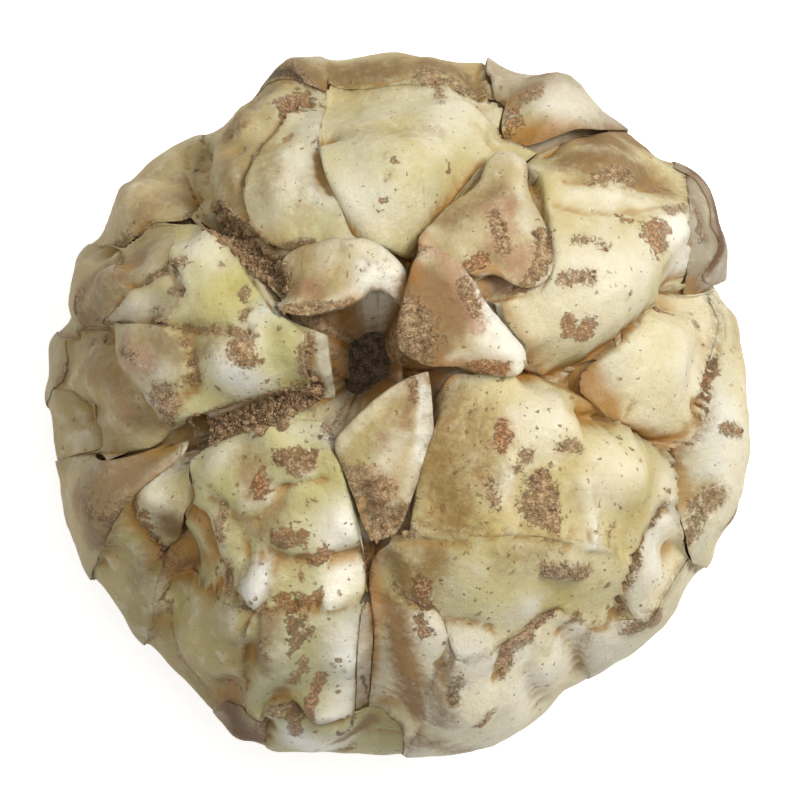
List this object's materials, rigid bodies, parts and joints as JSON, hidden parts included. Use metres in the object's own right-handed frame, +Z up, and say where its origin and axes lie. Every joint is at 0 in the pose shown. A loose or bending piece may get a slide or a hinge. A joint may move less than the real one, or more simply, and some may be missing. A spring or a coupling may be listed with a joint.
{
  "type": "lily bulb",
  "caption": "Fresh edible lily bulb of several noses: overlapping fleshy scales grow from a cut basal plate and close round the soil-filled pit of the old stem",
  "frame": {"origin": "middle of the bulb's footprint, on the ground under the basal plate", "axes": "+Z up through the noses; +X east and +Y north when the bulb is seen from above"},
  "size_m": [0.1024, 0.1012, 0.0592],
  "materials": {
    "scale_flesh": "smooth waxy cream flesh with brown stains and caught soil",
    "shaded_flesh": "smooth waxy flesh, yellower and darker in the hollows",
    "brown_flesh": "thin outer scale, bruised and brown with soil",
    "plate_tissue": "fibrous cut stem tissue with root scars",
    "soil": "matte granular dry soil"
  },
  "bodies": {
    "root": {"basal_plate": "plate_tissue", "crevice_soil_1": "soil", "crevice_soil_2": "soil", "east_heart": "shaded_flesh", "east_scale_1": "scale_flesh", "east_scale_2": "scale_flesh", "north_heart": "shaded_flesh", "north_scale_1": "shaded_flesh", "north_scale_2": "scale_flesh", "north_scale_3": "scale_flesh", "north_scale_4": "scale_flesh", "north_scale_5": "shaded_flesh", "north_scale_6": "brown_flesh", "north_scale_7": "scale_flesh", "northeast_heart": "shaded_flesh", "northeast_scale_1": "scale_flesh", "northeast_scale_2": "scale_flesh", "northeast_scale_3": "brown_flesh", "northeast_scale_4": "scale_flesh", "northeast_scale_5": "scale_flesh", "northeast_scale_6": "scale_flesh", "pit_soil": "soil", "southeast_heart": "shaded_flesh", "southeast_scale_1": "scale_flesh", "southeast_scale_2": "scale_flesh", "southeast_scale_3": "brown_flesh", "southeast_scale_4": "scale_flesh", "southeast_scale_5": "scale_flesh", "southeast_scale_6": "scale_flesh", "southeast_scale_7": "scale_flesh", "southwest_heart": "shaded_flesh", "southwest_scale_1": "brown_flesh", "southwest_scale_10": "scale_flesh", "southwest_scale_2": "scale_flesh", "southwest_scale_3": "scale_flesh", "southwest_scale_4": "scale_flesh", "southwest_scale_5": "scale_flesh", "southwest_scale_6": "scale_flesh", "southwest_scale_7": "scale_flesh", "southwest_scale_8": "brown_flesh", "southwest_scale_9": "brown_flesh", "west_heart": "shaded_flesh", "west_scale_1": "shaded_flesh", "west_scale_10": "brown_flesh", "west_scale_2": "scale_flesh", "west_scale_3": "scale_flesh", "west_scale_4": "scale_flesh", "west_scale_5": "scale_flesh", "west_scale_6": "scale_flesh", "west_scale_7": "brown_flesh", "west_scale_8": "brown_flesh", "west_scale_9": "brown_flesh"}
  },
  "joints": []
}
